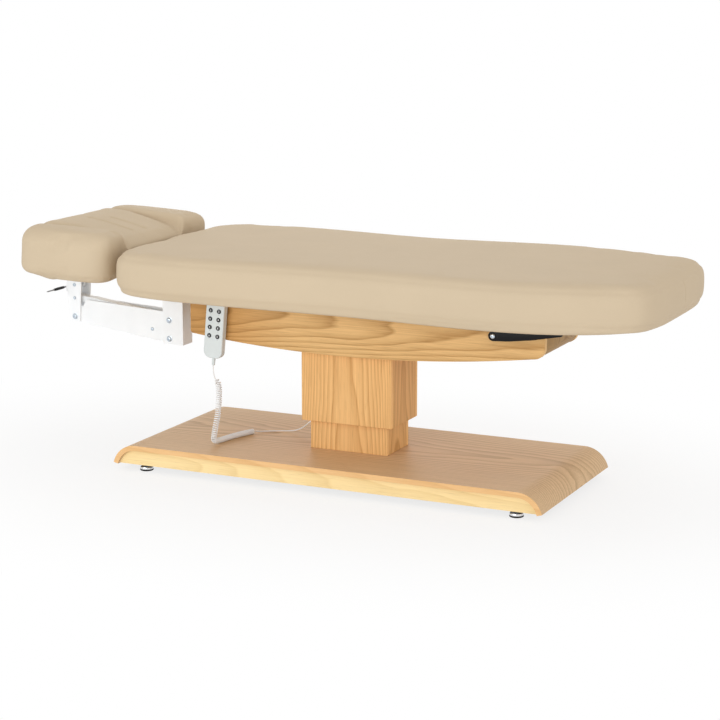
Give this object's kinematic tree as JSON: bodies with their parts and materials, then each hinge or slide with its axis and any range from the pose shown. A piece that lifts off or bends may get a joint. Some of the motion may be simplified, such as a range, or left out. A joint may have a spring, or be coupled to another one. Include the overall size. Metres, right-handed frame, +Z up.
{
  "type": "massage bed",
  "caption": "Padded massage bed on a bowed wooden beam and a telescopic wooden lifting column, with a tilting head rest on a parallel arm and a corded hand control.",
  "frame": {"origin": "on the floor, in the middle of the bed's length and width", "axes": "+X towards the foot end, +Z up, -Y the side with the hand control"},
  "size_m": [1.9623, 0.781, 0.7095],
  "materials": {
    "oak_panel": "clear satin lacquer on oak-like veneer",
    "plywood": "raw plywood",
    "cream_vinyl": "soft matt upholstery vinyl",
    "white_steel": "white powder coat",
    "grey_steel": "grey coated steel",
    "zinc_bolt": "bright zinc",
    "column_steel": "black coated steel",
    "black_plastic": "fine matt",
    "hand_shell": "fine matt",
    "hand_key": "soft rubber-like",
    "circuit": "solder mask",
    "cord_jacket": "soft PVC"
  },
  "bodies": {
    "base": {"base_top_sheet": "oak_panel", "base_near_rail": "oak_panel", "base_far_rail": "oak_panel", "base_plate": "grey_steel", "levelling_foot_pads": "black_plastic", "levelling_foot_studs": "zinc_bolt", "column_near_board": "oak_panel", "column_far_board": "oak_panel", "column_head_board": "oak_panel", "column_foot_board": "oak_panel", "column_guide_tube": "column_steel", "column_glide_liners": "black_plastic", "lift_motor_tube": "column_steel", "cord_gland": "cord_jacket", "cord_lying_curl": "cord_jacket", "cord_floor_lead": "cord_jacket"},
    "lift": {"sleeve_near_board": "oak_panel", "sleeve_far_board": "oak_panel", "sleeve_head_board": "oak_panel", "sleeve_foot_board": "oak_panel", "column_slide_tube": "column_steel", "lift_motor_ram": "column_steel", "lift_plate": "grey_steel", "beam_near_side": "oak_panel", "beam_far_side": "oak_panel", "beam_head_end": "oak_panel", "beam_foot_end": "oak_panel", "beam_bottom_skin": "oak_panel", "control_box": "black_plastic", "top_board": "plywood", "bed_cushion": "cream_vinyl", "foot_lever_bolt": "zinc_bolt", "head_arm_hanger": "white_steel", "hanger_bolts": "zinc_bolt", "hand_front_shell": "hand_shell", "hand_back_shell": "hand_shell", "hand_circuit_board": "circuit", "hand_hook": "hand_shell", "cord_strain_relief": "hand_shell", "cord_top_lead": "cord_jacket", "cord_hanging_curl": "cord_jacket"},
    "head_arm": {"head_arm_channel": "white_steel"},
    "head_link": {"head_arm_link": "grey_steel"},
    "head_carrier": {"head_carrier": "white_steel", "carrier_bolts": "zinc_bolt"},
    "head_rest": {"rest_board": "plywood", "rest_cushion": "cream_vinyl", "head_tilt_lug": "grey_steel"},
    "release_handle": {"release_handle": "grey_steel", "release_handle_grip": "black_plastic"},
    "foot_lever": {"foot_lever": "black_plastic"},
    "key_1": {"hand_key_1": "hand_key"},
    "key_2": {"hand_key_2": "hand_key"},
    "key_3": {"hand_key_3": "hand_key"},
    "key_4": {"hand_key_4": "hand_key"},
    "key_5": {"hand_key_5": "hand_key"},
    "key_6": {"hand_key_6": "hand_key"},
    "key_7": {"hand_key_7": "hand_key"},
    "key_8": {"hand_key_8": "hand_key"}
  },
  "joints": [
    {"name": "column_lift", "type": "slide", "parent": "base", "child": "lift", "axis": [0, 0, 1], "range_m": [0, 0.25], "deforming": ["cord_hanging_curl"]},
    {"name": "head_arm_swing", "type": "hinge", "parent": "lift", "child": "head_arm", "pos_m": [-0.60385, 0, 0.353], "axis": [0, 1, 0], "range_deg": [-15, 2]},
    {"name": "head_link_swing", "type": "hinge", "parent": "lift", "child": "head_link", "pos_m": [-0.60385, 0, 0.41], "axis": [0, 1, 0], "range_deg": [-15, 2]},
    {"name": "head_carrier_level", "type": "hinge", "parent": "head_arm", "child": "head_carrier", "pos_m": [-0.93685, 0, 0.396], "axis": [0, 1, 0], "range_deg": [-2, 15]},
    {"name": "head_tilt", "type": "hinge", "parent": "head_carrier", "child": "head_rest", "pos_m": [-0.93685, 0, 0.494], "axis": [0, 1, 0], "range_deg": [-30, 2]},
    {"name": "release_pull", "type": "hinge", "parent": "head_carrier", "child": "release_handle", "pos_m": [-0.97415, 0, 0.484], "axis": [1, 0, 0], "range_deg": [-12, 0], "stiffness_Nm_per_rad": 0.8, "springref_deg": 14.32},
    {"name": "foot_lever_pull", "type": "hinge", "parent": "lift", "child": "foot_lever", "pos_m": [0.48715, -0.146, 0.474], "axis": [0, 1, 0], "range_deg": [0, 20], "stiffness_Nm_per_rad": 1.2, "springref_deg": -17.19},
    {"name": "key_1_press", "type": "slide", "parent": "lift", "child": "key_1", "axis": [0, 1, 0], "range_m": [0, 0.0012], "stiffness_N_per_m": 500, "springref_m": -0.001},
    {"name": "key_2_press", "type": "slide", "parent": "lift", "child": "key_2", "axis": [0, 1, 0], "range_m": [0, 0.0012], "stiffness_N_per_m": 500, "springref_m": -0.001},
    {"name": "key_3_press", "type": "slide", "parent": "lift", "child": "key_3", "axis": [0, 1, 0], "range_m": [0, 0.0012], "stiffness_N_per_m": 500, "springref_m": -0.001},
    {"name": "key_4_press", "type": "slide", "parent": "lift", "child": "key_4", "axis": [0, 1, 0], "range_m": [0, 0.0012], "stiffness_N_per_m": 500, "springref_m": -0.001},
    {"name": "key_5_press", "type": "slide", "parent": "lift", "child": "key_5", "axis": [0, 1, 0], "range_m": [0, 0.0012], "stiffness_N_per_m": 500, "springref_m": -0.001},
    {"name": "key_6_press", "type": "slide", "parent": "lift", "child": "key_6", "axis": [0, 1, 0], "range_m": [0, 0.0012], "stiffness_N_per_m": 500, "springref_m": -0.001},
    {"name": "key_7_press", "type": "slide", "parent": "lift", "child": "key_7", "axis": [0, 1, 0], "range_m": [0, 0.0012], "stiffness_N_per_m": 500, "springref_m": -0.001},
    {"name": "key_8_press", "type": "slide", "parent": "lift", "child": "key_8", "axis": [0, 1, 0], "range_m": [0, 0.0012], "stiffness_N_per_m": 500, "springref_m": -0.001}
  ],
  "couplings": [
    {"joint": "head_link_swing", "follows": "head_arm_swing", "ratio": 1},
    {"joint": "head_carrier_level", "follows": "head_arm_swing", "ratio": -1}
  ]
}
